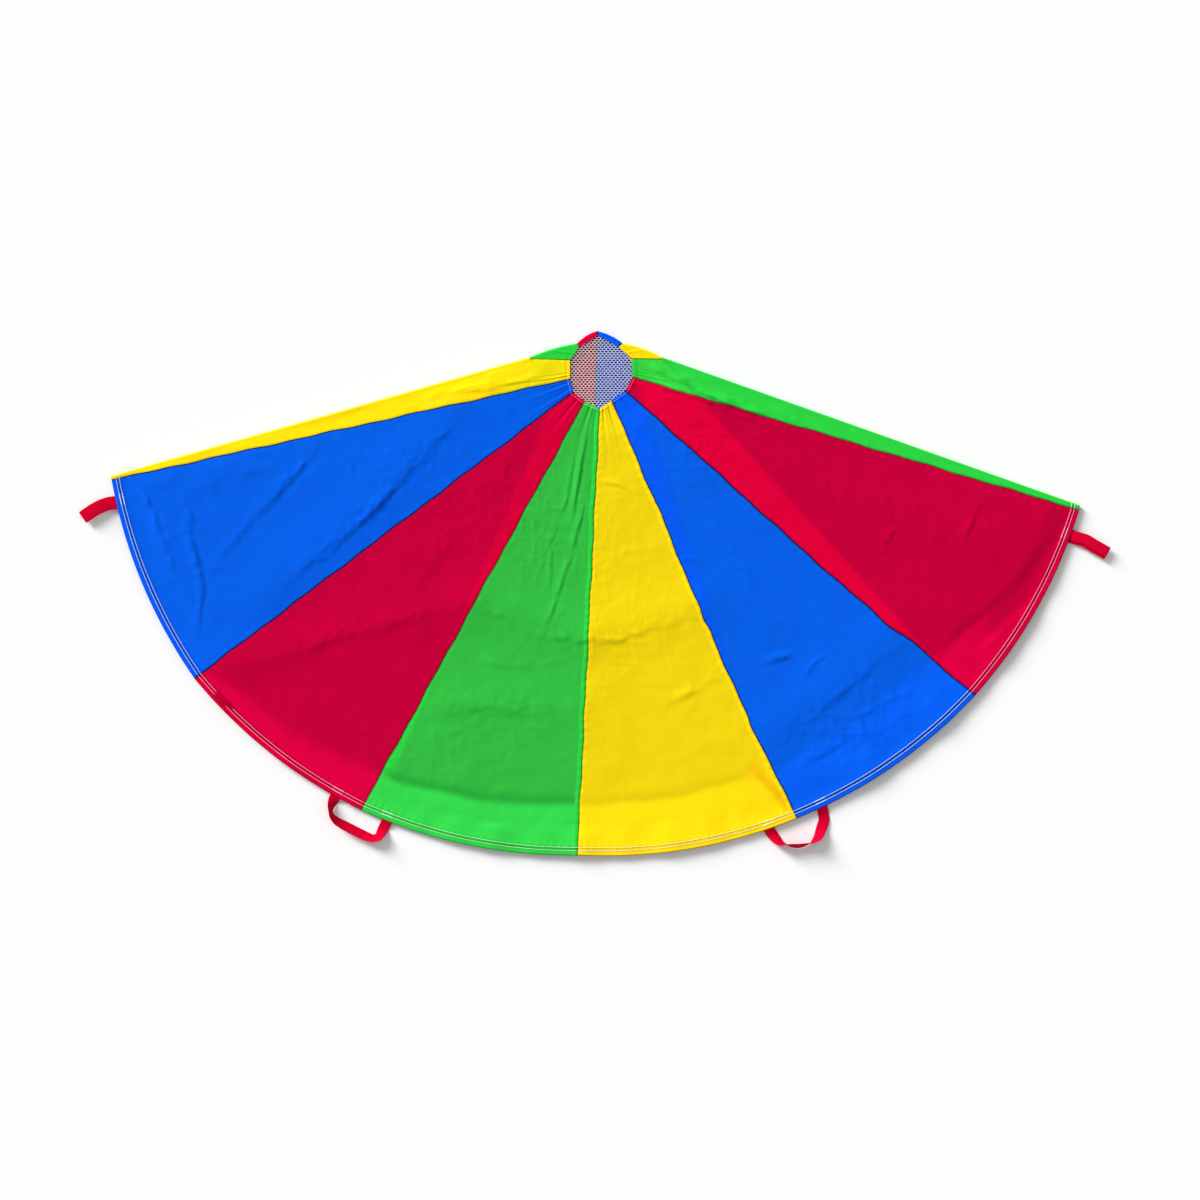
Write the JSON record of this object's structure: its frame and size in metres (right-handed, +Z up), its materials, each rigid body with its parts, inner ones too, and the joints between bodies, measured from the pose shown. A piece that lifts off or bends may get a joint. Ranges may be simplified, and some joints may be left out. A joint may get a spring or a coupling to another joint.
{
  "type": "folded play parachute",
  "caption": "Round cloth play parachute of tapered coloured gores round a net crown, folded in half and laid flat, with webbing hand loops that hinge at the rim hem.",
  "frame": {"origin": "on the floor, in the middle of the folded part's box in plan", "axes": "+X to the right along the fold, from the left fold corner to the right one; -Y from the crown net to the rim of the upper layer; +Z up"},
  "size_m": [1.9106, 0.9704, 0.0186],
  "materials": {
    "yellow_cloth": "smooth woven nylon",
    "blue_cloth": "smooth woven nylon",
    "red_cloth": "smooth woven nylon",
    "green_cloth": "smooth woven nylon",
    "net": "open net",
    "webbing": "woven webbing"
  },
  "bodies": {
    "canopy": {"gore_01_yellow": "yellow_cloth", "gore_02_blue": "blue_cloth", "gore_03_red": "red_cloth", "gore_04_green": "green_cloth", "gore_05_yellow": "yellow_cloth", "gore_06_blue": "blue_cloth", "gore_07_red": "red_cloth", "gore_08_green": "green_cloth", "gore_09_yellow": "yellow_cloth", "gore_10_blue": "blue_cloth", "gore_11_red": "red_cloth", "gore_12_green": "green_cloth", "crown_net": "net", "left_handle_tab_1": "webbing", "left_handle_tab_2": "webbing", "front_left_handle_tab_1": "webbing", "front_left_handle_tab_2": "webbing", "front_right_handle_tab_1": "webbing", "front_right_handle_tab_2": "webbing", "right_handle_tab_1": "webbing", "right_handle_tab_2": "webbing", "under_right_handle_tab_1": "webbing", "under_right_handle_tab_2": "webbing", "under_left_handle_tab_1": "webbing", "under_left_handle_tab_2": "webbing"},
    "left_loop": {"left_handle": "webbing"},
    "front_left_loop": {"front_left_handle": "webbing"},
    "front_right_loop": {"front_right_handle": "webbing"},
    "right_loop": {"right_handle": "webbing"},
    "under_right_loop": {"under_right_handle": "webbing"},
    "under_left_loop": {"under_left_handle": "webbing"}
  },
  "joints": [
    {"name": "left_loop_hinge", "type": "hinge", "parent": "canopy", "child": "left_loop", "pos_m": [-0.88938, 0.16767, 0.005], "axis": [-0.2228, 0.9749, 0], "range_deg": [0, 110]},
    {"name": "front_left_loop_hinge", "type": "hinge", "parent": "canopy", "child": "front_left_loop", "pos_m": [-0.43293, -0.40229, 0.0019], "axis": [-0.9044, 0.4266, 0], "range_deg": [0, 130]},
    {"name": "front_right_loop_hinge", "type": "hinge", "parent": "canopy", "child": "front_right_loop", "pos_m": [0.37433, -0.41862, 0.0019], "axis": [-0.9257, -0.3783, 0], "range_deg": [0, 130]},
    {"name": "right_loop_hinge", "type": "hinge", "parent": "canopy", "child": "right_loop", "pos_m": [0.88392, 0.10709, 0.005], "axis": [-0.3427, -0.9394, 0], "range_deg": [0, 110]},
    {"name": "under_right_loop_hinge", "type": "hinge", "parent": "canopy", "child": "under_right_loop", "pos_m": [0.31567, -0.3372, 0.0031], "axis": [-0.9289, -0.3705, 0], "range_deg": [-95, 0]},
    {"name": "under_left_loop_hinge", "type": "hinge", "parent": "canopy", "child": "under_left_loop", "pos_m": [-0.37805, -0.34855, 0.0031], "axis": [-0.946, 0.3242, 0], "range_deg": [-95, 0]}
  ]
}
